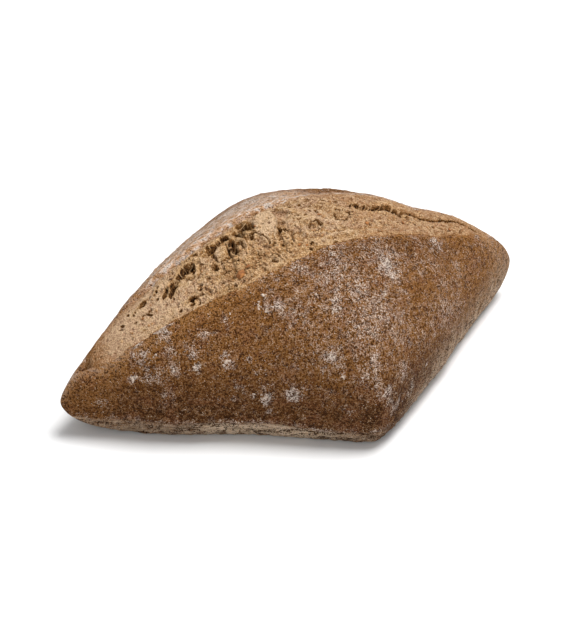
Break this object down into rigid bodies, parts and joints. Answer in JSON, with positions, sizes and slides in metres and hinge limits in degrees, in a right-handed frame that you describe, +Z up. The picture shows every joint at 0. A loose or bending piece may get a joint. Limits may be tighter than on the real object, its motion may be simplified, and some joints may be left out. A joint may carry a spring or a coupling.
{
  "type": "bread roll",
  "caption": "Rustic diamond-shaped bread roll on a flat base, slashed from tip to tip, with the torn crumb rising between two crust lips.",
  "frame": {"origin": "on the table under the middle of the roll's bounding box", "axes": "+X from the low pointed tip to the blunter tip along the slash, +Y across the roll towards its back, +Z up"},
  "size_m": [0.14, 0.0931, 0.0448],
  "materials": {
    "baked_crust": "dull brown baked crust, dusted with flour, with a rough tan crumb in the slash"
  },
  "bodies": {
    "root": {"bread_roll": "baked_crust"}
  },
  "joints": []
}
